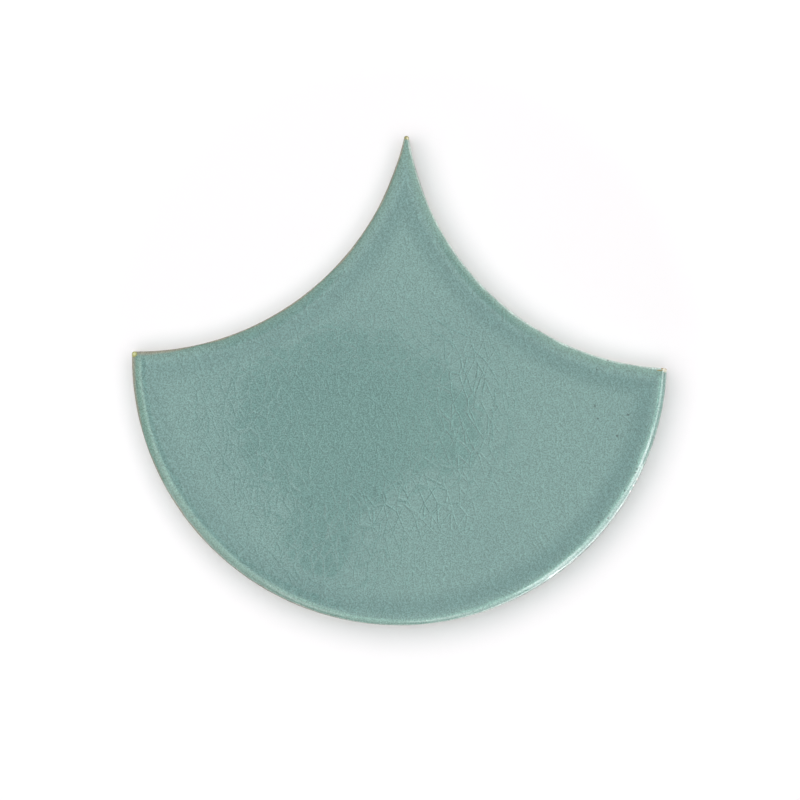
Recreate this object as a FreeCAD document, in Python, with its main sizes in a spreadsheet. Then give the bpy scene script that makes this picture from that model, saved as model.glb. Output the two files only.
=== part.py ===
"""Fish scale tile: one pressed, fired and glazed ceramic piece, lying on its back with its face up.

The lower half of the outline is a semicircle. Each upper side, a flank, is a hollow quarter circle
that fits round a neighbour's semicircle, one grout joint away, and the flanks meet in a blunt apex.
The origin is the centre of the semicircle, on the back. +X runs across the width, +Y points to the
apex and +Z out of the glazed face.
"""
import FreeCAD, Part
import math
import os

import Sketcher
from FreeCAD import Vector

NODE = "fish_scale_tile"

# Driving dimensions in millimetres, each with what it measures
SIZES = [
    ("tile_width", 130.0, "across the semicircle"),
    ("tile_thickness", 9.0, "from the back to the face"),
    ("grout_joint", 1.1, "gap to each neighbour"),
    ("rim_width", 1.8, "bevel of the face along the semicircle, seen from above"),
    ("rim_drop", 1.2, "how far that bevel falls"),
    ("rim_bulge", 4.6, "radius of that bevel's bulge"),
    ("flank_radius", 0.5, "rounding of the face along the flanks, the apex and the side points"),
    ("apex_land", 0.1, "flat left on the face inside the rounded apex, as a radius"),
    ("point_land", 0.15, "flat left on the face inside each side point, as a radius"),
    ("back_bevel", 0.4, "bevel of the back edge"),
    ("key_margin", 8.0, "plain border round the grooves of the back"),
    ("key_pitch", 8.0, "from one groove of the back to the next"),
    ("key_groove", 5.0, "width of a groove at its mouth"),
    ("key_slope", 0.4, "how far each side of a groove leans in"),
    ("key_depth", 0.8, "depth of a groove"),
]

document = FreeCAD.newDocument("FishScaleTile")
sheet = document.addObject("Spreadsheet::Sheet", "Sizes")
for row, (alias, size, meaning) in enumerate(SIZES, start=1):
    sheet.set(f"A{row}", meaning)
    sheet.set(f"B{row}", str(size))
    sheet.setAlias(f"B{row}", alias)
document.recompute()

# The plan of the tile, as expressions on the sheet
SCALE_RADIUS = "(Sizes.tile_width / 2)"
FLANK_CENTRE = "(Sizes.tile_width / 2 + Sizes.grout_joint / 2)"
FLANK_HOLLOW = "(Sizes.tile_width / 2 + Sizes.grout_joint)"
APEX_RADIUS = "(Sizes.flank_radius + Sizes.apex_land)"
POINT_RADIUS = "(Sizes.flank_radius + Sizes.point_land)"

# How far the rim's waste runs on past the edges of the bevel
OVERRUN = "(Sizes.rim_width / 8)"

# The grooved field of the back, and how many grooves fit in it below and above the origin
FIELD_RADIUS = f"({SCALE_RADIUS} - Sizes.key_margin)"
FIELD_HOLLOW = f"({FLANK_HOLLOW} + Sizes.key_margin)"
FIELD_APEX = f"({FLANK_CENTRE} - sqrt({FIELD_HOLLOW}^2 - {FLANK_CENTRE}^2))"
GROOVES_BELOW = f"floor({FIELD_RADIUS} / Sizes.key_pitch)"
GROOVES_ABOVE = f"floor({FIELD_APEX} / Sizes.key_pitch)"

# How a sketch counts the ends and centre of its arcs and lines, its two axes and its origin
START, END, CENTRE = range(1, 4)
LEVEL_AXIS, UPRIGHT_AXIS = range(-1, -3, -1)
ORIGIN = (LEVEL_AXIS, START)


def size_of(expression):
    """The number that an expression on the sheet gives now."""
    return float(sheet.evalExpression(expression.replace("Sizes.", "")))


def new_body(name):
    """A body for one solid, or for one set of like solids."""
    body = document.addObject("PartDesign::Body", name)
    body.AllowCompound = True
    return body


def origin_feature(body, role):
    """One of the body's own origin planes or axes."""
    return next(item for item in body.Origin.OriginFeatures if item.Role == role)


def new_sketch(body, name, plane):
    """A sketch on one of the body's own origin planes."""
    sketch = body.newObject("Sketcher::SketchObject", name)
    sketch.AttachmentSupport = [(origin_feature(body, plane), "")]
    sketch.MapMode = "FlatFace"
    return sketch


def relate(sketch, kind, *where):
    """Adds a constraint that has no size."""
    sketch.addConstraint(Sketcher.Constraint(kind, *where))


def measure(sketch, name, kind, where, expression):
    """Adds a constraint whose size is an expression on the sheet."""
    index = sketch.addConstraint(Sketcher.Constraint(kind, *where, size_of(expression)))
    sketch.renameConstraint(index, name)
    sketch.setExpression(f"Constraints.{name}", expression)


def place(sketch, name, where, across, up):
    """Holds a point of the sketch at its two distances from the origin."""
    measure(sketch, f"{name}_across", "DistanceX", [*ORIGIN, *where], across)
    measure(sketch, f"{name}_up", "DistanceY", [*ORIGIN, *where], up)


def crossing(centre_a, radius_a, centre_b, radius_b, side):
    """Where two circles cross, to one side (1 left, -1 right) of the way from centre a to centre b."""
    span = centre_b - centre_a
    along = (radius_a**2 - radius_b**2 + span.Length**2) / (2 * span.Length)
    across = math.sqrt(radius_a**2 - along**2)
    forward = Vector(span).normalize()
    return centre_a + forward * along + Vector(-forward.y, forward.x, 0) * across * side


def arc_between(centre, radius, start, end):
    """The arc from start to end, counterclockwise."""
    circle = Part.Circle(centre, Vector(0, 0, 1), radius)
    return Part.ArcOfCircle(circle, circle.parameter(start), circle.parameter(end))


def draw_scale(sketch, scale_radius, flank_hollow):
    """The semicircle, left flank and right flank of a fish scale, and the numbers of the three arcs."""
    radius = size_of(scale_radius)
    hollow = size_of(flank_hollow)
    offset = size_of(FLANK_CENTRE)
    middle = Vector(0, 0, 0)
    left_centre = Vector(-offset, offset, 0)
    right_centre = Vector(offset, offset, 0)
    left_point = crossing(middle, radius, left_centre, hollow, 1)
    right_point = crossing(middle, radius, right_centre, hollow, -1)
    apex = crossing(left_centre, hollow, right_centre, hollow, -1)
    semicircle = sketch.addGeometry(arc_between(middle, radius, left_point, right_point), False)
    left = sketch.addGeometry(arc_between(left_centre, hollow, left_point, apex), False)
    right = sketch.addGeometry(arc_between(right_centre, hollow, apex, right_point), False)
    relate(sketch, "Coincident", semicircle, CENTRE, *ORIGIN)
    relate(sketch, "Coincident", semicircle, START, left, START)
    relate(sketch, "Coincident", semicircle, END, right, END)
    relate(sketch, "Symmetric", left, CENTRE, right, CENTRE, UPRIGHT_AXIS)
    relate(sketch, "Equal", left, right)
    measure(sketch, "scale_radius", "Radius", [semicircle], scale_radius)
    measure(sketch, "flank_hollow", "Radius", [right], flank_hollow)
    place(sketch, "flank_centre", [right, CENTRE], FLANK_CENTRE, FLANK_CENTRE)
    return semicircle, left, right


def round_apex(sketch, left, right):
    """An arc that rounds the apex, tangent to both flanks."""
    radius = size_of(APEX_RADIUS)
    offset = size_of(FLANK_CENTRE)
    reach = size_of(FLANK_HOLLOW) + radius
    centre = Vector(0, offset - math.sqrt(reach**2 - offset**2), 0)
    to_right = (Vector(offset, offset, 0) - centre) * (radius / reach)
    to_left = Vector(-to_right.x, to_right.y, 0)
    apex = sketch.addGeometry(arc_between(centre, radius, centre + to_right, centre + to_left), False)
    relate(sketch, "Tangent", apex, START, right, START)
    relate(sketch, "Tangent", apex, END, left, END)
    measure(sketch, "apex_radius", "Radius", [apex], APEX_RADIUS)


def draw_polygon(sketch, corners):
    """A closed run of straight lines through corners, each given as its two expressions."""
    points = [Vector(size_of(across), size_of(up), 0) for across, up in corners]
    lines = [
        sketch.addGeometry(Part.LineSegment(start, end), False)
        for start, end in zip(points, points[1:] + points[:1])
    ]
    for number, (across, up) in enumerate(corners):
        relate(sketch, "Coincident", lines[number - 1], END, lines[number], START)
        place(sketch, f"corner_{number}", [lines[number], START], across, up)


def draw_rim_waste(sketch):
    """The section of what is taken off to bevel the rim: the bevel's arc, and lines clear of the tile."""
    crest_at = (f"({SCALE_RADIUS} - Sizes.rim_width)", "Sizes.tile_thickness")
    shoulder_at = (SCALE_RADIUS, "(Sizes.tile_thickness - Sizes.rim_drop)")
    corner_at = (f"({SCALE_RADIUS} + Sizes.rim_width)", "(Sizes.tile_thickness + Sizes.rim_width)")
    start_across = f"({SCALE_RADIUS} + {OVERRUN})"
    end_across = f"({SCALE_RADIUS} - Sizes.rim_width - {OVERRUN})"
    crest, shoulder, corner = (
        Vector(size_of(across), size_of(up), 0) for across, up in (crest_at, shoulder_at, corner_at)
    )
    bulge = size_of("Sizes.rim_bulge")
    centre = crossing(crest, bulge, shoulder, bulge, -1)
    start, end = (
        Vector(across, centre.y + math.sqrt(bulge**2 - (across - centre.x)**2), 0)
        for across in (size_of(start_across), size_of(end_across))
    )

    guide = sketch.addGeometry(Part.LineSegment(crest, shoulder), True)
    bevel = sketch.addGeometry(arc_between(centre, bulge, start, end), False)
    corners = [end, Vector(end.x, corner.y, 0), corner, Vector(corner.x, start.y, 0), start]
    inner, top, outer, bottom = (
        sketch.addGeometry(Part.LineSegment(one, other), False) for one, other in zip(corners, corners[1:])
    )
    place(sketch, "crest", [guide, START], *crest_at)
    place(sketch, "shoulder", [guide, END], *shoulder_at)
    relate(sketch, "PointOnObject", guide, START, bevel)
    relate(sketch, "PointOnObject", guide, END, bevel)
    measure(sketch, "bulge", "Radius", [bevel], "Sizes.rim_bulge")
    measure(sketch, "bevel_start", "DistanceX", [*ORIGIN, bevel, START], start_across)
    measure(sketch, "bevel_end", "DistanceX", [*ORIGIN, bevel, END], end_across)
    for before, after in ((bevel, inner), (inner, top), (top, outer), (outer, bottom), (bottom, bevel)):
        relate(sketch, "Coincident", before, END, after, START)
    for upright in (inner, outer):
        relate(sketch, "Vertical", upright)
    for level in (top, bottom):
        relate(sketch, "Horizontal", level)
    place(sketch, "corner", [outer, START], *corner_at)


def pad(body, sketch, name, length):
    """Raises a sketch by a length on the sheet."""
    feature = body.newObject("PartDesign::Pad", name)
    feature.Profile = sketch
    feature.setExpression("Length", length)
    return feature


def dress_edges(body, kind, name, base, is_edge, size_name, expression):
    """A fillet or chamfer of those edges of a feature that a test picks."""
    document.recompute()
    edges = [f"Edge{number}" for number, edge in enumerate(base.Shape.Edges, start=1) if is_edge(edge)]
    feature = body.newObject(kind, name)
    feature.Base = (base, edges)
    feature.setExpression(size_name, expression)
    return feature


def is_level(edge, height):
    """Whether an edge lies at one height."""
    return all(abs(vertex.Z - height) < Part.Precision.confusion() for vertex in edge.Vertexes)


def make_blank():
    """The tile with its face edges dressed and a plain back."""
    body = new_body("Blank")
    outline = new_sketch(body, "Outline", "XY_Plane")
    _, left, right = draw_scale(outline, SCALE_RADIUS, FLANK_HOLLOW)
    round_apex(outline, left, right)
    slab = pad(body, outline, "Slab", "Sizes.tile_thickness")

    # The two upright edges where the semicircle meets the flanks stand out to the sides
    apex_reach = size_of(APEX_RADIUS)
    points = dress_edges(
        body,
        "PartDesign::Fillet",
        "SidePoints",
        slab,
        lambda edge: edge.BoundBox.ZLength > apex_reach and abs(edge.Vertexes[0].X) > apex_reach,
        "Radius",
        POINT_RADIUS,
    )
    face_height = size_of("Sizes.tile_thickness")
    face_edge = dress_edges(
        body,
        "PartDesign::Fillet",
        "FaceEdge",
        points,
        lambda edge: is_level(edge, face_height),
        "Radius",
        "Sizes.flank_radius",
    )
    back_edge = dress_edges(
        body,
        "PartDesign::Chamfer",
        "BackEdge",
        face_edge,
        lambda edge: is_level(edge, 0),
        "Size",
        "Sizes.back_bevel",
    )

    # The semicircle's bevel is turned about the origin, from a section that stands clear beyond the apex
    waste = new_sketch(body, "RimWaste", "YZ_Plane")
    draw_rim_waste(waste)
    rim = body.newObject("PartDesign::Groove", "Rim")
    rim.Profile = waste
    rim.ReferenceAxis = (waste, ["V_Axis"])
    rim.Angle = 360
    document.recompute()
    if rim.Shape.Volume >= back_edge.Shape.Volume:
        raise RuntimeError("the rim isn't bevelled")
    return body


def make_key():
    """The grooves of the back, as the solid that is cut away."""
    field_body = new_body("KeyField")
    field = new_sketch(field_body, "FieldOutline", "XY_Plane")
    _, left, right = draw_scale(field, FIELD_RADIUS, FIELD_HOLLOW)
    relate(field, "Coincident", left, END, right, START)
    pad(field_body, field, "Field", "Sizes.key_depth")

    bars_body = new_body("KeyBars")
    section = new_sketch(bars_body, "GrooveSection", "YZ_Plane")
    lowest = f"(0.5 - {GROOVES_BELOW}) * Sizes.key_pitch"
    mouth = "Sizes.key_groove / 2"
    floor = "(Sizes.key_groove / 2 - Sizes.key_slope)"
    draw_polygon(
        section,
        [
            (f"{lowest} - {mouth}", "0"),
            (f"{lowest} + {mouth}", "0"),
            (f"{lowest} + {floor}", "Sizes.key_depth"),
            (f"{lowest} - {floor}", "Sizes.key_depth"),
        ],
    )
    bar = pad(bars_body, section, "Bar", "Sizes.tile_width")
    bar.Midplane = True
    document.recompute()
    row = bars_body.newObject("PartDesign::LinearPattern", "BarRow")
    row.Originals = [bar]
    row.Direction = (origin_feature(bars_body, "Y_Axis"), [""])
    row.Mode = "Spacing"
    row.setExpression("Offset", "Sizes.key_pitch")
    row.setExpression("Occurrences", f"{GROOVES_BELOW} + {GROOVES_ABOVE}")
    bars_body.Tip = row

    key = document.addObject("Part::Common", "Key")
    key.Base = field_body
    key.Tool = bars_body
    return key


def make_tile():
    """The finished tile: the blank with its back grooved to hold the bedding."""
    tile = document.addObject("Part::Cut", "Tile")
    tile.Label = NODE
    tile.Base = make_blank()
    tile.Tool = make_key()
    document.recompute()
    return tile


def check(tile):
    """Stops before anything is written if an object failed or the tile isn't one sound solid."""
    failed = [item.Name for item in document.Objects if {"Invalid", "Error"} & set(item.State)]
    if failed:
        raise RuntimeError(f"failed: {failed}")
    sketches = document.findObjects("Sketcher::SketchObject")
    loose = [sketch.Name for sketch in sketches if not sketch.FullyConstrained]
    if loose:
        raise RuntimeError(f"sketches with loose points: {loose}")
    shape = tile.Shape
    if shape.isNull() or not shape.isValid() or len(shape.Solids) != 1:
        raise RuntimeError("the tile isn't one valid solid")
    if shape.Volume >= tile.Base.Shape.Volume:
        raise RuntimeError("the back isn't grooved")


tile = make_tile()
check(tile)
os.makedirs("parts", exist_ok=True)
tile.Shape.exportStep(f"parts/{tile.Label}.step")
box = tile.Shape.optimalBoundingBox(False, False)
print(f"{tile.Label}: {box.XLength:.2f} x {box.YLength:.2f} x {box.ZLength:.2f} mm")
print(f"volume {tile.Shape.Volume / 1000:.2f} cm3, apex at {box.YMax:.2f} mm, {len(tile.Shape.Faces)} faces")
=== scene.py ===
import math

import bmesh
import bpy
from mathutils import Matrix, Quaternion, Vector, noise


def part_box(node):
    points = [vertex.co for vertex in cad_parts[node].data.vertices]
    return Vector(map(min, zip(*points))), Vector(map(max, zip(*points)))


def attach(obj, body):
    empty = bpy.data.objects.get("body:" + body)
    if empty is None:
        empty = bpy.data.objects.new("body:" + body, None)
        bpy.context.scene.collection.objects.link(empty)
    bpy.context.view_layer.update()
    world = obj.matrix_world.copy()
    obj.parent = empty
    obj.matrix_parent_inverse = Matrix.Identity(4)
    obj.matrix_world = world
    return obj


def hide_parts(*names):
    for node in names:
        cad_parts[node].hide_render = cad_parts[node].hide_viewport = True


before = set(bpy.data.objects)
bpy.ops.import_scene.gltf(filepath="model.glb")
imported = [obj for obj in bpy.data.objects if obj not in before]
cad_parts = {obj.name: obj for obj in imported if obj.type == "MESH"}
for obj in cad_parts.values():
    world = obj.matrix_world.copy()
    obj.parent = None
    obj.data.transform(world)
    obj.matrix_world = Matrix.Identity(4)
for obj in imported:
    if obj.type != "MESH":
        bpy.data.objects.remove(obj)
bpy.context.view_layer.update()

# Driving sizes in metres: the outline follows the CAD tile's own box
MM = 0.001
low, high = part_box("fish_scale_tile")
SCALE_RADIUS = -low.y
THICKNESS = high.z
GROUT_JOINT = 1.1 * MM
FLANK_CENTRE = SCALE_RADIUS + GROUT_JOINT / 2
FLANK_HOLLOW = SCALE_RADIUS + GROUT_JOINT
NOSE_RADIUS = 0.6 * MM
NOSE_Y = FLANK_CENTRE - math.sqrt((FLANK_HOLLOW + NOSE_RADIUS) ** 2 - FLANK_CENTRE ** 2)
NOSE_SLOPE = (FLANK_CENTRE - NOSE_Y) / FLANK_CENTRE
POINT_RADIUS = 0.65 * MM

# The edge of the face: a bevel of two facets, broad along the rim and narrow along the flanks. Each facet
# has its two ends in shares of the bevel's width, counted inwards, and its slope in degrees at both ends
RIM_WIDTH = 1.8 * MM
FLANK_WIDTH = 0.7 * MM
FACETS = ((0.0, 0.45, 43, 38), (0.45, 1.0, 29, 18))
CREST_SOFT = 0.05
RIM_ARRIS = 0.25 * MM
FLANK_ARRIS = 0.1 * MM
CORNER_POWER = 4

# The rim's bevel sways in width and is pinched at the bottom, both in shares of its usual width
RIM_SWAY = 0.1
RIM_SWAY_LENGTH = 9 * MM
RIM_PINCH = 0.4
RIM_PINCH_POWER = 10

# Inside the bevel lies a shallow hollow, which fades towards the bottom, and then long low waves
POOL_DEPTH = 0.07 * MM
POOL_START = 1.9 * MM
POOL_REACH = 2.1 * MM
POOL_FADE = 0.8
POOL_FADE_POWER = 4
WAVE_DEPTH = 0.0084 * MM
WAVE_LENGTH = 17 * MM
WAVE_SLICE = 30 * MM
WAVES_IN_FULL = 7.2 * MM
RIPPLE_LENGTH = 6.8 * MM
RIPPLE_SHARE = 0.35

# The side: the glaze runs nearly down to the back and ends in an uneven lip, with bare clay below it. Each
# step has its share of the way that is left, and how far it draws in
GLAZE_LINE = 0.8 * MM
GLAZE_WANDER = 0.3 * MM
GLAZE_SWEEP = 14 * MM
GLAZE_RUN = 5 * MM
GLAZE_RUN_SHARE = 0.5
GLAZE_STEPS = (
    (0.3, 0.0),
    (0.45, 0.0),
    (0.6, 0.0),
    (0.7, 0.02 * MM),
    (0.7, 0.02 * MM),
    (1.0, 0.05 * MM),
)
GLAZE_SKIN = 0.1 * MM
CLAY_STEPS = ((0.0, GLAZE_SKIN), (0.2, 0.0), (0.5, 0.0), (1.0, 0.0))
BACK_BEVEL = 0.4 * MM

# The back: straight grooves that key into the adhesive, up to the top of the grooved field
KEY_MARGIN = 8 * MM
KEY_PITCH = 8 * MM
KEY_GROOVE = 5 * MM
KEY_SLOPE = 0.4 * MM
KEY_DEPTH = 0.8 * MM
KEY_END_STEPS = 4
KEY_TOP = FLANK_CENTRE - math.sqrt((FLANK_HOLLOW + KEY_MARGIN) ** 2 - FLANK_CENTRE ** 2)

# The face mesh has its finest steps along the edges
COLUMNS = 280
ROWS = 230
EDGE_EASE = 0.85
STRAIGHT_BEND = 1e-6
SHARP_ANGLE = math.radians(38)

# Slots of the two materials on the tile
GLAZE = 0
CLAY = 1

# The camera looks straight down, a little turned against the tile
CAMERA_HEIGHT = 0.9
CAMERA_X = 0.44 * MM
CAMERA_Y = -10.28 * MM
CAMERA_TURN = math.radians(1.82)
FRAME_WIDTH = 194.3 * MM
SENSOR_MM = 36.0

# Light: a broad soft lamp overhead and dim surroundings, on a floor that whitens round the tile
WORLD_LEVEL = 0.21
FLOOR_HALF = 3.0
FLOOR_COLOUR = (0.985, 0.962, 0.975, 1.0)
FLOOR_GLOW = 0.06
GLOW_START = 67 * MM
GLOW_END = 85 * MM
OVERHEAD_PLACE = (-0.17, 0.17, 1.3)
OVERHEAD_WIDTH = 2.34
OVERHEAD_LEVEL = 2.09
OVERHEAD_CORNERS = 96

# A grey card over the camera, with its corners in millimetres
CARD_HEIGHT = 0.93
CARD_LEVEL = 0.95
CARD = (
    (-74, 18), (-32, 26), (20, 11), (37, -10), (40, -40), (0, -52),
    (-15, -69), (-27, -104), (-50, -104), (-54, -60), (-82, -35),
)

# Lamps that show in the gloss of the edges, the low ones in the outer facet and the high ones in the inner
# facet: bearing and rise in degrees, width and height in metres, and radiance
EDGE_LAMPS = (
    (52, 3, 1.3, 0.21, 2.2),
    (-4, 3, 0.62, 0.21, 1.2),
    (-37, 3, 0.54, 0.21, 11.0),
    (-65, 3, 0.48, 0.21, 8.2),
    (-95, 3, 0.58, 0.21, 3.0),
    (-131, 3, 0.66, 0.21, 1.9),
    (52, 38, 1.3, 0.42, 1.7),
    (-4, 32, 0.66, 0.3, 5.2),
    (-37, 38, 0.58, 0.46, 5.5),
    (-65, 38, 0.5, 0.46, 3.4),
    (-95, 38, 0.62, 0.46, 1.6),
    (-131, 38, 0.7, 0.46, 1.6),
)
EDGE_LAMP_AWAY = 0.9

# Sockets of a node that mixes two colours
MIX_FACTOR = 0
MIX_UNDER = 6
MIX_OVER = 7
MIX_RESULT = 2

# Body of the glaze: two colours in soft clouds, and a fine grain, with sizes in millimetres. The tones are
# spread over the values that most of a noise has. The grain of a real glaze is finer than a pixel, and is
# drawn as coarse as it needs to show
BODY_DARK = "#6D928D"
BODY_LIGHT = "#719690"
CLOUD_SIZE = 28.57
GRAIN_SIZE = 0.3125
GRAIN_TONE = 0.33
NOISE_LOW = 0.3
NOISE_HIGH = 0.7

# Depths in from the edges, in millimetres, drift with the thickness of the glaze
DRIFT_SIZE = 6.667
DRIFT = 0.45

# Where the edges turn from shaded to lit, which sets their painted light, in millimetres from left to
# right. Along the flanks the turn has other ends at a low place than at a high one
LIT_FROM = -30.0
LIT_TO = 35.0
EDGE_LIT_LOW = -20.0
EDGE_LIT_HIGH = 10.0
EDGE_LIT_FROM = (-25.0, -1.0)
EDGE_LIT_TO = (5.0, 1.0)

# Colour of the glaze over the edges: share of a reach in millimetres, colour and cover. The lit stops are
# painted light
EDGE_REACH = 3.0
RIM_STOPS = (
    (0.0, "#749689", 0.8),
    (0.35, "#74988A", 0.8),
    (0.5, "#799F91", 0.8),
    # The light line along the bevel's crest: partly paler thin glaze, partly a painted highlight
    (0.66, "#86ACA1", 0.8),
    (0.82, "#72978F", 0.0),
)
# Painted light: paler rim colours laid on the lit right
RIM_PAINTED_LIT_STOPS = (
    (0.0, "#88AEA5", 0.8),
    (0.35, "#8CB7AD", 0.8),
    (0.6, "#91C0B6", 0.8),
    (0.7, "#729791", 0.0),
)
# The flanks' thin glaze, its outermost band partly brown glaze and partly painted shade
FLANK_GLAZE_AND_SHADE_STOPS = (
    (0.0, "#5E7D6F", 0.8),
    (0.15, "#5E8072", 0.8),
    (0.27, "#688A7F", 0.8),
    (0.4, "#6D9288", 0.8),
    (0.95, "#6D918A", 0.0),
)
# Painted light: paler flank colours laid on the lit right
FLANK_PAINTED_LIT_STOPS = (
    (0.0, "#83A499", 0.8),
    (0.2, "#7FA297", 0.8),
    (0.4, "#769B90", 0.8),
    (0.8, "#6D918A", 0.0),
)

# The line along the outermost edge, in millimetres, brown thin glaze on the left and a painted highlight on
# the lit
# right: widest at the left point, fading between two shares of its width, and gone a little way down the
# side
LINE_BROWN = "#94907F"
LINE_HIGHLIGHT = "#CBE0D8"
LINE_AT_POINT = 1.2
LINE_WIDTH = 0.45
LINE_NARROWS = 18.0
LINE_FADE = (0.3, 1.0)
LINE_COVER = 0.85
LINE_FOOT = (-0.7, -0.3)

# The darker tint of the pool inside the edges, where the glaze lies thicker, laid on stronger towards the
# right as
# painted shade: where it comes and goes, in millimetres inwards, and its cover at the left and the right
POOL_AND_SHADE_COLOUR = "#4F7A77"
TINT_COMES = (2.4, 4.0)
TINT_GOES = (5.0, 9.0)
POOL_SHADE_COVER = (0.2, 0.5)

# Crazing: lean of each family of cracks in degrees, and width and length of its shards in millimetres. Slow
# swirls bend them. Real cracks are finer than a pixel, and are drawn as coarse as they need to show, each
# as a dark line with a light one beside it
CRACK_FAMILIES = ((24, 2.7, 7.0), (-36, 2.9, 7.5))
CRACK_HALF = 0.16
CRACK_BESIDE = (0.24, 0.12, 0.0)
CRACK_TONE = 0.15
CRACK_SINK = 0.004 * MM
SHARD_LEAN = 0.004
SWIRL_SIZE = 20.0
SWIRL = 6.0

# Where cracks catch the light most, their lines are painted stronger as painted glints: place and the two
# half sizes in millimetres
PAINTED_CRACK_GLINTS = ((17.0, -12.0, 11.0, 27.0), (4.0, -36.0, 22.0, 10.0))
PAINTED_GLINT_TONE = 0.38
PAINTED_GLINT_FADE = (0.4, 1.1)

# Pinholes in the glaze: place and the two half sizes in millimetres
PINHOLES = (
    (55.8, -12.1, 0.6, 0.3),
    (47.7, -10.2, 0.28, 0.6),
    (53.3, -17.3, 0.35, 0.35),
    (48.5, -13.3, 0.35, 0.3),
    (47.9, -1.4, 0.25, 0.35),
    (50.5, 0.9, 0.35, 0.25),
    (58.4, -25.1, 0.3, 0.4),
    (58.0, -26.1, 0.35, 0.35),
    (55.6, -30.5, 0.3, 0.4),
    (51.8, -37.3, 0.35, 0.3),
    (49.5, -38.3, 0.4, 0.35),
)
PINHOLE_TONE = 0.35
PINHOLE_FADE = (0.3, 1.0)

# Spots where the glaze is gone or stained, some with painted highlights: place, the two half sizes in
# millimetres, and colour
SPOTS_AND_HIGHLIGHTS = (
    (-64.4, -1.2, 0.85, 0.85, "#9FA35E"),
    # Painted highlight in the middle of the left point's bare spot
    (-64.3, -1.2, 0.35, 0.4, "#D3D69E"),
    # Bare clay at the right point, painted paler as lit
    (64.5, -0.6, 0.85, 0.9, "#EDE8D2"),
    (63.75, -0.65, 0.3, 0.25, "#A08650"),
    (64.75, -0.6, 0.25, 0.3, "#B3905A"),
    (63.2, -1.1, 0.8, 0.2, "#8A8658"),
    (0.1, 53.5, 0.75, 0.75, "#98945F"),
    # Painted highlight in the middle of the apex's bare spot
    (0.2, 53.2, 0.3, 0.3, "#DDD8A4"),
    # Small chips at the lower right edge, painted near white as highlights
    (58.7, -27.7, 0.35, 0.35, "#F0EFE8"),
    (57.95, -29.3, 0.35, 0.35, "#F0EFE8"),
    (57.1, -30.9, 0.3, 0.5, "#F0EFE8"),
)
SPOT_RAGGED = 1.2
SPOT_FADE = (0.1, 0.5)

# Bare clay
CLAY_DARK = "#CFC4A8"
CLAY_LIGHT = "#DFD8C4"
CLAY_GRAIN = 1.11 * MM
CLAY_GRIT = 0.1 * MM


def linear(code):
    """The linear colour of an sRGB hex code."""
    values = [int(code[i:i + 2], 16) / 255 for i in (1, 3, 5)]
    return tuple(v / 12.92 if v <= 0.04045 else ((v + 0.055) / 1.055) ** 2.4 for v in values) + (1.0,)


def add_node(tree, kind, inputs=None, **settings):
    """Adds a node with its settings. An input takes a value or another node's output."""
    node = tree.nodes.new(kind)
    for name, value in settings.items():
        setattr(node, name, value)
    for name, value in (inputs or {}).items():
        if isinstance(value, bpy.types.NodeSocket):
            tree.links.new(value, node.inputs[name])
        else:
            node.inputs[name].default_value = value
    return node


def smooth_step(value, start, end):
    """0 before start, 1 after end, and an S curve between."""
    share = min(max((value - start) / (end - start), 0.0), 1.0)
    return share * share * (3 - 2 * share)


# Outline of the tile

def rim_depth(x, y):
    """Distance inwards from the round lower edge."""
    return SCALE_RADIUS - math.hypot(x, y)


def flank_depth(x, y):
    """Distance inwards from the hollow upper edges and the rounded apex between them."""
    if y - NOSE_Y > abs(x) * NOSE_SLOPE:
        return NOSE_RADIUS - math.hypot(x, y - NOSE_Y)
    return math.hypot(FLANK_CENTRE - abs(x), FLANK_CENTRE - y) - FLANK_HOLLOW


def rim_outward(x, y):
    """Direction out of the round edge."""
    return Vector((x, y, 0)).normalized()


def flank_outward(x, y):
    """Direction out of the hollow edges and the apex."""
    if y - NOSE_Y > abs(x) * NOSE_SLOPE:
        return Vector((x, y - NOSE_Y, 0)).normalized()
    return Vector((math.copysign(FLANK_CENTRE, x) - x, FLANK_CENTRE - y, 0)).normalized()


def outward(x, y):
    """Direction out of the outline, turning evenly round the two side points."""
    to_rim = max(POINT_RADIUS - rim_depth(x, y), 0.0)
    to_flank = max(POINT_RADIUS - flank_depth(x, y), 0.0)
    return (to_rim * rim_outward(x, y) + to_flank * flank_outward(x, y)).normalized()


def eased(share):
    """Moves even steps so that they are finest at both ends."""
    return share - EDGE_EASE * math.sin(2 * math.pi * share) / (2 * math.pi)


def wrapped(across, along):
    """The point inside the tile's outline for a place in the square grid, both from 0 to 1."""
    reach = math.hypot(FLANK_CENTRE, FLANK_CENTRE)
    opening = math.acos((FLANK_HOLLOW ** 2 + reach ** 2 - SCALE_RADIUS ** 2) / (2 * FLANK_HOLLOW * reach))
    start = -math.pi / 4 - opening
    end = -math.atan(NOSE_SLOPE)
    share = eased(along)
    angle = start + share * (end - start)
    half = FLANK_CENTRE - FLANK_HOLLOW * math.cos(angle)
    side_y = FLANK_CENTRE + FLANK_HOLLOW * math.sin(angle)
    flank_length = FLANK_HOLLOW * (end - start)
    height = SCALE_RADIUS + NOSE_Y + NOSE_RADIUS
    middle_y = -SCALE_RADIUS + share * flank_length + (height - flank_length) * share ** 2
    bend = 2 * math.atan2(side_y - middle_y, half)
    turn = 2 * eased(across) - 1
    if abs(bend) < STRAIGHT_BEND:
        return half * turn, side_y
    radius = half / math.sin(bend)
    return radius * math.sin(turn * bend), middle_y + radius * (1 - math.cos(turn * bend))


def round_point(x, y):
    """Draws the corner at a side point onto its small radius."""
    to_rim = POINT_RADIUS - rim_depth(x, y)
    to_flank = POINT_RADIUS - flank_depth(x, y)
    if to_rim <= 0 or to_flank <= 0:
        return x, y
    shrink = 1 - max(to_rim, to_flank) / math.hypot(to_rim, to_flank)
    move = rim_outward(x, y) * to_rim * -shrink + flank_outward(x, y) * to_flank * -shrink
    return x + move.x, y + move.y


# Height of the glazed face

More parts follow.
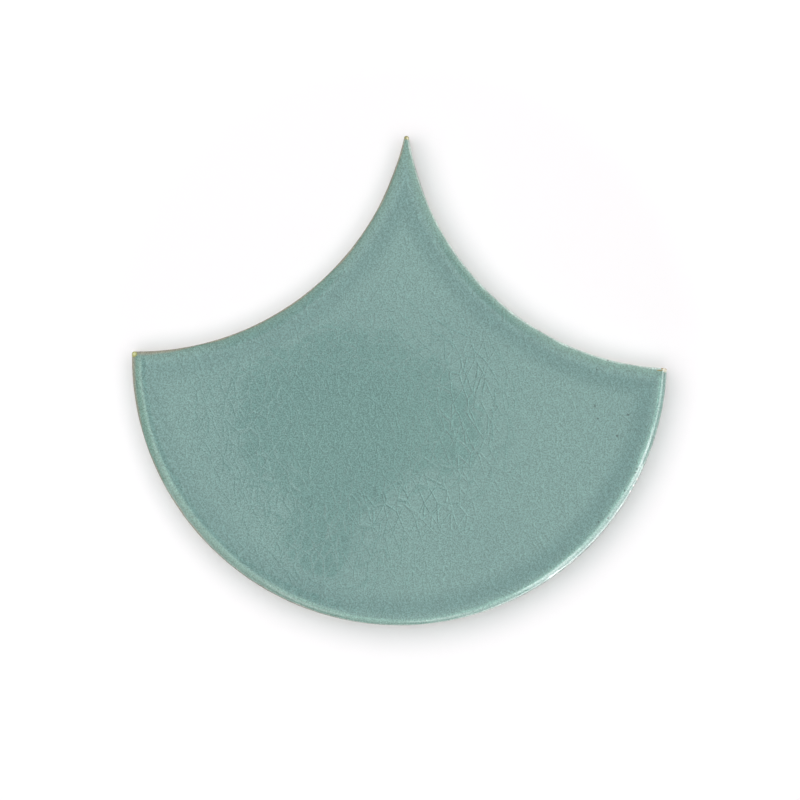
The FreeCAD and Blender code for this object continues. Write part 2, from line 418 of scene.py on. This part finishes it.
def bevel_fall(depth, width, arris):
    """How far the face has fallen at a distance from an edge with a bevel and a rounded arris."""
    share = depth / width
    fall = 0.0
    for start, end, steep, gentle in FACETS:
        outer = math.tan(math.radians(steep))
        inner = math.tan(math.radians(gentle))
        place = min(max(share, start), end)
        slope = outer + (inner - outer) * (place - start) / (end - start)
        fall += width * (end - place) * (slope + inner) / 2
    fall -= max(depth - width, 0.0) * inner
    rounded = (fall + math.hypot(fall, CREST_SOFT * width)) / 2
    inset = max(arris - depth, 0.0)
    return rounded + arris - math.sqrt(arris ** 2 - inset ** 2)


def rim_spread(x, y):
    """Width of the rim's bevel against the usual: widest on the left and narrowest at the bottom."""
    sway = RIM_SWAY * (noise.noise(Vector((x, y, 0)) / RIM_SWAY_LENGTH) - x / SCALE_RADIUS)
    return 1 + sway - RIM_PINCH * max(-y / SCALE_RADIUS, 0.0) ** RIM_PINCH_POWER


def rim_place(x, y):
    """Distance from the round edge in millimetres, as if the bevel had its usual width everywhere."""
    depth = rim_depth(x, y)
    width = RIM_WIDTH * rim_spread(x, y)
    if depth < width:
        return depth / width * RIM_WIDTH / MM
    return (depth - width + RIM_WIDTH) / MM


def face_height(x, y):
    """Height of the glaze over the back."""
    rim = max(rim_depth(x, y), 0.0)
    flank = max(flank_depth(x, y), 0.0)
    rim_fall = bevel_fall(rim, RIM_WIDTH * rim_spread(x, y), RIM_ARRIS)
    flank_fall = bevel_fall(flank, FLANK_WIDTH, FLANK_ARRIS)
    fall = (rim_fall ** CORNER_POWER + flank_fall ** CORNER_POWER) ** (1 / CORNER_POWER)
    edge = min(rim, flank + RIM_WIDTH - FLANK_WIDTH)
    pool = max(edge - POOL_START, 0.0) / POOL_REACH
    shallow = 1 - POOL_FADE * max(-y / SCALE_RADIUS, 0.0) ** POOL_FADE_POWER
    fall += POOL_DEPTH * shallow * pool ** 2 * math.exp(2 - 2 * pool)
    place = Vector((x, y, WAVE_SLICE))
    wave = noise.noise(place / WAVE_LENGTH) + RIPPLE_SHARE * noise.noise(place / RIPPLE_LENGTH)
    fall += WAVE_DEPTH * (1 + wave) * smooth_step(edge, RIM_WIDTH, WAVES_IN_FULL)
    return THICKNESS - fall


def glaze_line(x, y):
    """Height over the back at which the glaze ends on the side."""
    place = Vector((x, y, 0))
    wander = noise.noise(place / GLAZE_SWEEP) + GLAZE_RUN_SHARE * noise.noise(place / GLAZE_RUN)
    return GLAZE_LINE + GLAZE_WANDER * wander


# The tile's mesh

def extend(bm, edges, material):
    """Extrudes an open loop and returns its new vertices and edges."""
    geometry = bmesh.ops.extrude_edge_only(bm, edges=edges)["geom"]
    for face in geometry:
        if isinstance(face, bmesh.types.BMFace):
            face.material_index = material
    verts = [g for g in geometry if isinstance(g, bmesh.types.BMVert)]
    loop = [g for g in geometry if isinstance(g, bmesh.types.BMEdge) and g.is_boundary]
    return verts, loop


def add_face(bm, rim_mm, flank_mm):
    """Lays the square grid over the face and notes how far in from the edges each point is."""
    bmesh.ops.create_grid(bm, x_segments=COLUMNS, y_segments=ROWS, size=0.5)
    for v in bm.verts:
        x, y = round_point(*wrapped(v.co.x + 0.5, v.co.y + 0.5))
        v.co = (x, y, face_height(x, y))
        v[rim_mm] = rim_place(x, y)
        v[flank_mm] = flank_depth(x, y) / MM


def add_side(bm, rim_mm, flank_mm):
    """Draws the edge of the face down to the back, glazed first and then bare."""
    loop = [e for e in bm.edges if e.is_boundary]
    for share, inset in GLAZE_STEPS:
        verts, loop = extend(bm, loop, GLAZE)
        for v in verts:
            run = share * (v.co.z - glaze_line(v.co.x, v.co.y))
            v.co += Vector((0, 0, -run)) - outward(v.co.x, v.co.y) * inset
            v[rim_mm] -= run / MM
            v[flank_mm] -= run / MM
    for share, inset in CLAY_STEPS:
        verts, loop = extend(bm, loop, CLAY)
        for v in verts:
            v.co -= Vector((0, 0, share * (v.co.z - BACK_BEVEL))) + outward(v.co.x, v.co.y) * inset
    verts, loop = extend(bm, loop, CLAY)
    for v in verts:
        v.co = v.co - outward(v.co.x, v.co.y) * BACK_BEVEL
        v.co.z = 0


def key_half_width(y):
    """Half the length of the grooved field at a height on the back."""
    below = math.sqrt(max((SCALE_RADIUS - KEY_MARGIN) ** 2 - y ** 2, 0.0))
    hollow = math.sqrt(max((FLANK_HOLLOW + KEY_MARGIN) ** 2 - (FLANK_CENTRE - y) ** 2, 0.0))
    return min(below, FLANK_CENTRE - hollow)


def add_groove(bm, centre):
    """Sinks one groove with sloping sides into the back."""
    steps = [centre + KEY_GROOVE * (i / KEY_END_STEPS - 0.5) for i in range(KEY_END_STEPS + 1)]
    left = [bm.verts.new((-key_half_width(y), y, 0)) for y in steps]
    right = [bm.verts.new((key_half_width(y), y, 0)) for y in reversed(steps)]
    mouth = bm.faces.new(left + right)
    mouth.normal_update()
    bmesh.ops.inset_region(
        bm, faces=[mouth], thickness=KEY_SLOPE, depth=-KEY_DEPTH, use_boundary=True, use_even_offset=True
    )


def add_back(bm):
    """Closes the back round its grooves. The fill is done in millimetres, as in metres it merges points."""
    sides = set(bm.faces)
    below = math.floor((SCALE_RADIUS - KEY_MARGIN) / KEY_PITCH)
    above = math.floor(KEY_TOP / KEY_PITCH)
    for i in range(-below, above):
        add_groove(bm, (i + 0.5) * KEY_PITCH)
    edges = [e for e in bm.edges if e.is_boundary]
    bmesh.ops.scale(bm, verts=bm.verts, vec=(1 / MM, 1 / MM, 1 / MM))
    bmesh.ops.triangle_fill(bm, use_beauty=True, edges=edges, normal=(0, 0, -1))
    bmesh.ops.scale(bm, verts=bm.verts, vec=(MM, MM, MM))
    for face in bm.faces:
        if face not in sides:
            face.material_index = CLAY


def build_tile():
    """The glazed face, the side and the grooved back in one closed mesh."""
    bm = bmesh.new()
    rim_mm = bm.verts.layers.float.new("rim_mm")
    flank_mm = bm.verts.layers.float.new("flank_mm")
    add_face(bm, rim_mm, flank_mm)
    add_side(bm, rim_mm, flank_mm)
    add_back(bm)
    for face in bm.faces:
        face.smooth = True
    bmesh.ops.recalc_face_normals(bm, faces=bm.faces)
    mesh = bpy.data.meshes.new("glazed_tile")
    bm.to_mesh(mesh)
    bm.free()
    mesh.set_sharp_from_angle(angle=SHARP_ANGLE)
    tile = bpy.data.objects.new("glazed_tile", mesh)
    bpy.context.scene.collection.objects.link(tile)
    return tile


# Looks of the glaze

def away_from(tree, place, x, y, wide, tall):
    """Distance from a spot in shares of its two half sizes."""
    offset = add_node(
        tree, "ShaderNodeVectorMath", {0: place, 1: (x, y, 0.0)}, operation="SUBTRACT"
    ).outputs[0]
    share = add_node(
        tree, "ShaderNodeVectorMath", {0: offset, 1: (wide, tall, 1.0)}, operation="DIVIDE"
    ).outputs[0]
    return add_node(tree, "ShaderNodeVectorMath", {0: share}, operation="LENGTH").outputs["Value"]


def edge_depths(tree, mm):
    """Depths in from the round edge and from the flanks, drifting with the glaze."""
    wander = add_node(
        tree, "ShaderNodeTexNoise", {"Vector": mm, "Scale": 1 / DRIFT_SIZE, "Detail": 3.0}
    ).outputs["Fac"]
    drift = add_node(
        tree, "ShaderNodeMapRange", {"Value": wander, "To Min": -DRIFT, "To Max": DRIFT}
    ).outputs[0]
    rim = add_node(tree, "ShaderNodeAttribute", attribute_name="rim_mm").outputs["Fac"]
    flank = add_node(tree, "ShaderNodeAttribute", attribute_name="flank_mm").outputs["Fac"]
    rim_in = add_node(tree, "ShaderNodeMath", {0: rim, 1: drift}, operation="ADD").outputs[0]
    flank_in = add_node(tree, "ShaderNodeMath", {0: flank, 1: drift}, operation="ADD").outputs[0]
    return rim_in, flank_in


def lit_sides(tree, axes):
    """How far the rim and the flanks are on the lit side, from 0 to 1, which sets their painted light."""
    across = axes.outputs["X"]
    lit = add_node(
        tree, "ShaderNodeMapRange", {"Value": across, "From Min": LIT_FROM, "From Max": LIT_TO}
    ).outputs[0]
    rise = {"Value": axes.outputs["Y"], "From Min": EDGE_LIT_LOW, "From Max": EDGE_LIT_HIGH}
    start = add_node(
        tree, "ShaderNodeMapRange", {**rise, "To Min": EDGE_LIT_FROM[0], "To Max": EDGE_LIT_FROM[1]}
    ).outputs[0]
    end = add_node(
        tree, "ShaderNodeMapRange", {**rise, "To Min": EDGE_LIT_TO[0], "To Max": EDGE_LIT_TO[1]}
    ).outputs[0]
    edge_lit = add_node(
        tree, "ShaderNodeMapRange", {"Value": across, "From Min": start, "From Max": end}
    ).outputs[0]
    return lit, edge_lit


def crazing(tree, mm):
    """The cracks, the light lines beside them, and a shade for each shard of the last family."""
    swirl = add_node(
        tree, "ShaderNodeTexNoise", {"Vector": mm, "Scale": 1 / SWIRL_SIZE, "Detail": 1.0}
    ).outputs["Color"]
    bent = add_node(
        tree, "ShaderNodeVectorMath", {0: swirl, 1: (SWIRL, SWIRL, SWIRL), 2: mm}, operation="MULTIPLY_ADD"
    ).outputs[0]
    pair = []
    for shift in ((0.0, 0.0, 0.0), CRACK_BESIDE):
        lines = 0.0
        for lean, wide, long in CRACK_FAMILIES:
            turn = (0.0, 0.0, math.radians(lean))
            cells = add_node(
                tree,
                "ShaderNodeMapping",
                {"Vector": bent, "Location": shift, "Rotation": turn, "Scale": (wide, long, wide)},
                vector_type="TEXTURE",
            ).outputs[0]
            gap = add_node(
                tree, "ShaderNodeTexVoronoi", {"Vector": cells, "Scale": 1.0}, feature="DISTANCE_TO_EDGE"
            ).outputs["Distance"]
            line = add_node(
                tree,
                "ShaderNodeMapRange",
                {"Value": gap, "From Max": CRACK_HALF / wide, "To Min": 1.0, "To Max": 0.0},
            ).outputs[0]
            lines = add_node(tree, "ShaderNodeMath", {0: line, 1: lines}, operation="MAXIMUM").outputs[0]
        pair.append(lines)
    crack, beside = pair
    shard = add_node(tree, "ShaderNodeTexVoronoi", {"Vector": cells, "Scale": 1.0}).outputs["Color"]
    return crack, beside, shard


def body_colour(tree, mm):
    """Colour of the glaze away from the edges."""
    clouds = add_node(
        tree, "ShaderNodeTexNoise", {"Vector": mm, "Scale": 1 / CLOUD_SIZE, "Detail": 2.0}
    ).outputs["Fac"]
    cloud = add_node(
        tree, "ShaderNodeMapRange", {"Value": clouds, "From Min": NOISE_LOW, "From Max": NOISE_HIGH}
    ).outputs[0]
    return add_node(
        tree,
        "ShaderNodeMix",
        {MIX_FACTOR: cloud, MIX_UNDER: linear(BODY_DARK), MIX_OVER: linear(BODY_LIGHT)},
        data_type="RGBA",
    ).outputs[MIX_RESULT]


def with_edge(tree, colour, depth, stops, strength):
    """Lays the colours of an edge over the glaze, some of them painted light and shade."""
    share = add_node(tree, "ShaderNodeMapRange", {"Value": depth, "From Max": EDGE_REACH}).outputs[0]
    ramp = add_node(tree, "ShaderNodeValToRGB", {"Fac": share})
    elements = ramp.color_ramp.elements
    elements.remove(elements[1])
    for number, (position, code, opaque) in enumerate(stops):
        stop = elements[0] if number == 0 else elements.new(position)
        stop.position = position
        stop.color = linear(code)[:3] + (opaque,)
    cover = add_node(
        tree, "ShaderNodeMath", {0: ramp.outputs["Alpha"], 1: strength}, operation="MULTIPLY"
    ).outputs[0]
    return add_node(
        tree,
        "ShaderNodeMix",
        {MIX_FACTOR: cover, MIX_UNDER: colour, MIX_OVER: ramp.outputs["Color"]},
        data_type="RGBA",
    ).outputs[MIX_RESULT]


def with_edge_line(tree, colour, flat, edge_in, above, edge_lit):
    """Lays a line along the outermost, thinnest glaze: brown on the left, and a pale painted highlight on
    the right.
    """
    left_point = (-SCALE_RADIUS / MM, 0.0, 0.0)
    away = add_node(
        tree, "ShaderNodeVectorMath", {0: flat, 1: left_point}, operation="DISTANCE"
    ).outputs["Value"]
    width = add_node(
        tree,
        "ShaderNodeMapRange",
        {"Value": away, "From Max": LINE_NARROWS, "To Min": LINE_AT_POINT, "To Max": LINE_WIDTH},
    ).outputs[0]
    share = add_node(tree, "ShaderNodeMath", {0: edge_in, 1: width}, operation="DIVIDE").outputs[0]
    start, end = LINE_FADE
    thin = add_node(
        tree,
        "ShaderNodeMapRange",
        {"Value": share, "From Min": start, "From Max": end, "To Min": LINE_COVER, "To Max": 0.0},
    ).outputs[0]
    cover = add_node(tree, "ShaderNodeMath", {0: thin, 1: above}, operation="MULTIPLY").outputs[0]
    line = add_node(
        tree,
        "ShaderNodeMix",
        {MIX_FACTOR: edge_lit, MIX_UNDER: linear(LINE_BROWN), MIX_OVER: linear(LINE_HIGHLIGHT)},
        data_type="RGBA",
    ).outputs[MIX_RESULT]
    return add_node(
        tree, "ShaderNodeMix", {MIX_FACTOR: cover, MIX_UNDER: colour, MIX_OVER: line}, data_type="RGBA"
    ).outputs[MIX_RESULT]


def with_pool_and_shade(tree, colour, edge_in, across):
    """Lays on the darker pool inside the edges, with more of it on the right as painted shade."""
    reach = SCALE_RADIUS / MM
    strength = add_node(
        tree,
        "ShaderNodeMapRange",
        {
            "Value": across,
            "From Min": -reach,
            "From Max": reach,
            "To Min": POOL_SHADE_COVER[0],
            "To Max": POOL_SHADE_COVER[1],
        },
    ).outputs[0]
    start, end = TINT_COMES
    comes = add_node(
        tree,
        "ShaderNodeMapRange",
        {"Value": edge_in, "From Min": start, "From Max": end},
        interpolation_type="SMOOTHSTEP",
    ).outputs[0]
    start, end = TINT_GOES
    stays = add_node(
        tree,
        "ShaderNodeMapRange",
        {"Value": edge_in, "From Min": start, "From Max": end, "To Min": 1.0, "To Max": 0.0},
        interpolation_type="SMOOTHSTEP",
    ).outputs[0]
    pool = add_node(tree, "ShaderNodeMath", {0: comes, 1: stays}, operation="MULTIPLY").outputs[0]
    cover = add_node(tree, "ShaderNodeMath", {0: pool, 1: strength}, operation="MULTIPLY").outputs[0]
    return add_node(
        tree,
        "ShaderNodeMix",
        {MIX_FACTOR: cover, MIX_UNDER: colour, MIX_OVER: linear(POOL_AND_SHADE_COLOUR)},
        data_type="RGBA",
    ).outputs[MIX_RESULT]


def with_tone(tree, colour, flat, grain, crack, beside):
    """Darkens and lightens the glaze by its grain, its cracks and its pinholes, and paints the cracks
    stronger where they glint.
    """
    tone = add_node(
        tree,
        "ShaderNodeMapRange",
        {
            "Value": grain,
            "From Min": NOISE_LOW,
            "From Max": NOISE_HIGH,
            "To Min": 1 - GRAIN_TONE,
            "To Max": 1 + GRAIN_TONE,
        },
    ).outputs[0]
    shown = CRACK_TONE
    # Painted glints: the crack lines are drawn stronger in the places where they catch the light
    start, end = PAINTED_GLINT_FADE
    for x, y, wide, tall in PAINTED_CRACK_GLINTS:
        away = away_from(tree, flat, x, y, wide, tall)
        near = add_node(
            tree,
            "ShaderNodeMapRange",
            {"Value": away, "From Min": start, "From Max": end, "To Min": PAINTED_GLINT_TONE, "To Max": 0.0},
        ).outputs[0]
        shown = add_node(tree, "ShaderNodeMath", {0: near, 1: shown}, operation="MAXIMUM").outputs[0]
    lines = add_node(tree, "ShaderNodeMath", {0: beside, 1: crack}, operation="SUBTRACT").outputs[0]
    craze = add_node(
        tree, "ShaderNodeMath", {0: lines, 1: shown, 2: 1.0}, operation="MULTIPLY_ADD"
    ).outputs[0]
    tone = add_node(tree, "ShaderNodeMath", {0: tone, 1: craze}, operation="MULTIPLY").outputs[0]
    start, end = PINHOLE_FADE
    for x, y, wide, tall in PINHOLES:
        away = away_from(tree, flat, x, y, wide, tall)
        hole = add_node(
            tree,
            "ShaderNodeMapRange",
            {"Value": away, "From Min": start, "From Max": end, "To Min": PINHOLE_TONE, "To Max": 1.0},
        ).outputs[0]
        tone = add_node(tree, "ShaderNodeMath", {0: tone, 1: hole}, operation="MULTIPLY").outputs[0]
    return add_node(
        tree,
        "ShaderNodeMix",
        {MIX_FACTOR: 1.0, MIX_UNDER: colour, MIX_OVER: tone},
        data_type="RGBA",
        blend_type="MULTIPLY",
    ).outputs[MIX_RESULT]


def with_spots(tree, colour, flat, grain, above):
    """Lays on the bare and stained spots and their painted highlights, which the grain makes ragged."""
    start, end = SPOT_FADE
    for x, y, wide, tall, code in SPOTS_AND_HIGHLIGHTS:
        away = away_from(tree, flat, x, y, wide, tall)
        ragged = add_node(
            tree, "ShaderNodeMath", {0: grain, 1: -SPOT_RAGGED, 2: away}, operation="MULTIPLY_ADD"
        ).outputs[0]
        spot = add_node(
            tree,
            "ShaderNodeMapRange",
            {"Value": ragged, "From Min": start, "From Max": end, "To Min": 1.0, "To Max": 0.0},
        ).outputs[0]
        cover = add_node(tree, "ShaderNodeMath", {0: spot, 1: above}, operation="MULTIPLY").outputs[0]
        colour = add_node(
            tree,
            "ShaderNodeMix",
            {MIX_FACTOR: cover, MIX_UNDER: colour, MIX_OVER: linear(code)},
            data_type="RGBA",
        ).outputs[MIX_RESULT]
    return colour


def crazed_normal(tree, crack, shard):
    """Sinks the cracks, and leans every shard a little its own way."""
    sunk = add_node(
        tree, "ShaderNodeBump", {"Height": crack, "Strength": 1.0, "Distance": CRACK_SINK}, invert=True
    ).outputs["Normal"]
    side = add_node(
        tree, "ShaderNodeVectorMath", {0: shard, 1: (0.5, 0.5, 0.5)}, operation="SUBTRACT"
    ).outputs[0]
    lean = add_node(
        tree,
        "ShaderNodeVectorMath",
        {0: side, 1: (SHARD_LEAN, SHARD_LEAN, 0.0), 2: sunk},
        operation="MULTIPLY_ADD",
    ).outputs[0]
    return add_node(tree, "ShaderNodeVectorMath", {0: lean}, operation="NORMALIZE").outputs[0]


# Materials

def crackle_glaze():
    """Sea green glaze, fired onto the clay to a clear gloss that mirrors the lamps.

    It ran thin and pale over the edges in the kiln and pooled darker inside them. Over this lie painted
    light and shade:
    paler edges on the lit right, a darker outer band on the flanks, a pool darker on the right, glints
    along the cracks and highlights on some bare spots. As it cooled it shrank more than the clay, so that
    fine cracks cover it.
    """
    material = bpy.data.materials.new("crackle_glaze")
    material.use_nodes = True
    tree = material.node_tree
    tree.nodes.clear()
    place = add_node(tree, "ShaderNodeTexCoord").outputs["Object"]
    mm = add_node(tree, "ShaderNodeVectorMath", {0: place, "Scale": 1 / MM}, operation="SCALE").outputs[0]
    flat = add_node(
        tree, "ShaderNodeVectorMath", {0: mm, 1: (1.0, 1.0, 0.0)}, operation="MULTIPLY"
    ).outputs[0]
    axes = add_node(tree, "ShaderNodeSeparateXYZ", {0: mm})
    grain = add_node(
        tree,
        "ShaderNodeTexNoise",
        {"Vector": mm, "Scale": 1 / GRAIN_SIZE, "Detail": 2.0, "Roughness": 0.6},
    ).outputs["Fac"]
    rim_in, flank_in = edge_depths(tree, mm)
    edge_in = add_node(tree, "ShaderNodeMath", {0: rim_in, 1: flank_in}, operation="MINIMUM").outputs[0]
    above = add_node(
        tree, "ShaderNodeMapRange", {"Value": edge_in, "From Min": LINE_FOOT[0], "From Max": LINE_FOOT[1]}
    ).outputs[0]
    lit, edge_lit = lit_sides(tree, axes)
    crack, beside, shard = crazing(tree, mm)

    colour = body_colour(tree, mm)
    # The edges' colours: thin glaze, with painted shade on the flanks and painted light on the right
    colour = with_edge(tree, colour, rim_in, RIM_STOPS, 1.0)
    colour = with_edge(tree, colour, rim_in, RIM_PAINTED_LIT_STOPS, lit)
    colour = with_edge(tree, colour, flank_in, FLANK_GLAZE_AND_SHADE_STOPS, 1.0)
    colour = with_edge(tree, colour, flank_in, FLANK_PAINTED_LIT_STOPS, edge_lit)
    # The edge line, with its painted highlight on the right
    colour = with_edge_line(tree, colour, flat, edge_in, above, edge_lit)
    # The pool, partly thicker glaze and partly painted shade
    colour = with_pool_and_shade(tree, colour, edge_in, axes.outputs["X"])
    colour = with_tone(tree, colour, flat, grain, crack, beside)
    colour = with_spots(tree, colour, flat, grain, above)
    normal = crazed_normal(tree, crack, shard)
    surface = add_node(
        tree,
        "ShaderNodeBsdfPrincipled",
        {"Base Color": colour, "Roughness": 0.03, "IOR": 1.5, "Normal": normal},
    )
    add_node(tree, "ShaderNodeOutputMaterial", {"Surface": surface.outputs[0]})
    return material


def fired_clay():
    """Cream clay, pressed and fired bare, which leaves the lower side and the back matt and gritty."""
    material = bpy.data.materials.new("fired_clay")
    material.use_nodes = True
    tree = material.node_tree
    tree.nodes.clear()
    place = add_node(tree, "ShaderNodeTexCoord").outputs["Object"]
    grain = add_node(
        tree, "ShaderNodeTexNoise", {"Vector": place, "Scale": 1 / CLAY_GRAIN, "Detail": 3.0}
    ).outputs["Fac"]
    colour = add_node(
        tree,
        "ShaderNodeMix",
        {MIX_FACTOR: grain, MIX_UNDER: linear(CLAY_DARK), MIX_OVER: linear(CLAY_LIGHT)},
        data_type="RGBA",
    ).outputs[MIX_RESULT]
    normal = add_node(
        tree, "ShaderNodeBump", {"Height": grain, "Strength": 0.6, "Distance": CLAY_GRIT}
    ).outputs["Normal"]
    surface = add_node(
        tree,
        "ShaderNodeBsdfPrincipled",
        {"Base Color": colour, "Roughness": 0.85, "IOR": 1.5, "Normal": normal},
    )
    add_node(tree, "ShaderNodeOutputMaterial", {"Surface": surface.outputs[0]})
    return material


# Studio

def add_sheet(name, corners):
    """A flat stage piece. Returns it with the empty node tree of its material."""
    bm = bmesh.new()
    bm.faces.new([bm.verts.new(corner) for corner in corners])
    mesh = bpy.data.meshes.new(name)
    bm.to_mesh(mesh)
    bm.free()
    sheet = bpy.data.objects.new(name, mesh)
    bpy.context.scene.collection.objects.link(sheet)
    material = bpy.data.materials.new(name)
    material.use_nodes = True
    material.node_tree.nodes.clear()
    mesh.materials.append(material)
    return sheet, material.node_tree


def background_rays(tree):
    """1 for rays that show the background: those of the camera, and those that gloss or glass sends on."""
    path = add_node(tree, "ShaderNodeLightPath")
    seen = path.outputs["Is Camera Ray"]
    for name in ("Is Glossy Ray", "Is Transmission Ray"):
        ray = path.outputs[name]
        seen = add_node(tree, "ShaderNodeMath", {0: ray, 1: seen}, operation="MAXIMUM").outputs[0]
    return seen


def build_floor():
    """White matt floor. Away from the tile's shadow it shows as pure white."""
    turns = ((-1, -1), (1, -1), (1, 1), (-1, 1))
    tree = add_sheet("floor", [(x * FLOOR_HALF, y * FLOOR_HALF, 0) for x, y in turns])[1]
    place = add_node(tree, "ShaderNodeTexCoord").outputs["Object"]
    away = add_node(tree, "ShaderNodeVectorMath", {0: place}, operation="LENGTH").outputs["Value"]
    ring = add_node(
        tree,
        "ShaderNodeMapRange",
        {"Value": away, "From Min": GLOW_START, "From Max": GLOW_END, "To Max": FLOOR_GLOW},
        interpolation_type="SMOOTHSTEP",
    ).outputs[0]
    seen = background_rays(tree)
    level = add_node(tree, "ShaderNodeMath", {0: ring, 1: seen}, operation="MULTIPLY").outputs[0]
    matt = add_node(tree, "ShaderNodeBsdfDiffuse", {"Color": FLOOR_COLOUR})
    glow = add_node(tree, "ShaderNodeEmission", {"Strength": level})
    both = add_node(tree, "ShaderNodeAddShader", {0: matt.outputs[0], 1: glow.outputs[0]})
    add_node(tree, "ShaderNodeOutputMaterial", {"Surface": both.outputs[0]})


def build_card():
    """A grey card over the camera, which only the gloss shows: it darkens the middle of the face."""
    card, tree = add_sheet("grey_card", [(x * MM, y * MM, CARD_HEIGHT) for x, y in CARD])
    grey = add_node(tree, "ShaderNodeEmission", {"Strength": CARD_LEVEL})
    add_node(tree, "ShaderNodeOutputMaterial", {"Surface": grey.outputs[0]})
    card.visible_camera = False
    card.visible_diffuse = False
    card.visible_shadow = False


def build_world():
    """Dim even surroundings that show as a white background."""
    world = bpy.data.worlds.new("studio")
    bpy.context.scene.world = world
    world.use_nodes = True
    tree = world.node_tree
    tree.nodes.clear()
    seen = background_rays(tree)
    level = add_node(
        tree, "ShaderNodeMapRange", {"Value": seen, "To Min": WORLD_LEVEL, "To Max": 1.0}
    ).outputs[0]
    back = add_node(tree, "ShaderNodeBackground", {"Color": (1.0, 1.0, 1.0, 1.0), "Strength": level})
    add_node(tree, "ShaderNodeOutputWorld", {"Surface": back.outputs[0]})


def build_overhead():
    """A broad glowing disc that faces the tile."""
    centre = Vector(OVERHEAD_PLACE)
    facing = centre.to_track_quat("Z", "Y")
    spoke = Vector((OVERHEAD_WIDTH / 2, 0, 0))
    step = 2 * math.pi / OVERHEAD_CORNERS
    turns = [Quaternion((0, 0, 1), step * i) for i in range(OVERHEAD_CORNERS)]
    disc, tree = add_sheet("overhead", [centre + facing @ (turn @ spoke) for turn in turns])
    light = add_node(tree, "ShaderNodeEmission", {"Strength": OVERHEAD_LEVEL})
    add_node(tree, "ShaderNodeOutputMaterial", {"Surface": light.outputs[0]})
    disc.visible_camera = False


def around(azimuth, elevation, distance):
    """A place round the tile, from its bearing and rise in degrees and its distance."""
    turn = math.radians(azimuth)
    rise = math.radians(elevation)
    level = math.cos(rise) * distance
    return (math.cos(turn) * level, math.sin(turn) * level, math.sin(rise) * distance)


def build_edge_lamp(bearing, rise, width, height, radiance):
    """A soft lamp that faces the tile, lights no matt surface and only shows in the gloss."""
    name = f"edge_lamp_{bearing}_{rise}"
    data = bpy.data.lights.new(name, "AREA")
    data.shape = "RECTANGLE"
    data.size = width
    data.size_y = height
    data.energy = radiance * math.pi * width * height
    lamp = bpy.data.objects.new(name, data)
    bpy.context.scene.collection.objects.link(lamp)
    lamp.location = around(bearing, rise, EDGE_LAMP_AWAY)
    lamp.rotation_euler = lamp.location.to_track_quat("Z", "Y").to_euler()
    lamp.visible_diffuse = False
    lamp.visible_camera = False


def build_camera():
    """The camera straight over the tile, its frame as wide as the picture at the outline's level."""
    data = bpy.data.cameras.new("camera")
    data.sensor_width = SENSOR_MM
    data.lens = SENSOR_MM * (CAMERA_HEIGHT - THICKNESS + RIM_WIDTH) / FRAME_WIDTH
    camera = bpy.data.objects.new("camera", data)
    bpy.context.scene.collection.objects.link(camera)
    camera.location = (CAMERA_X, CAMERA_Y, CAMERA_HEIGHT)
    camera.rotation_euler = (0, 0, CAMERA_TURN)
    bpy.context.scene.camera = camera


tile = build_tile()
tile.data.materials.append(crackle_glaze())
tile.data.materials.append(fired_clay())
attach(tile, "root")
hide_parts("fish_scale_tile")

build_floor()
build_card()
build_world()
build_overhead()
for settings in EDGE_LAMPS:
    build_edge_lamp(*settings)
build_camera()
bpy.context.scene.view_settings.view_transform = "Standard"
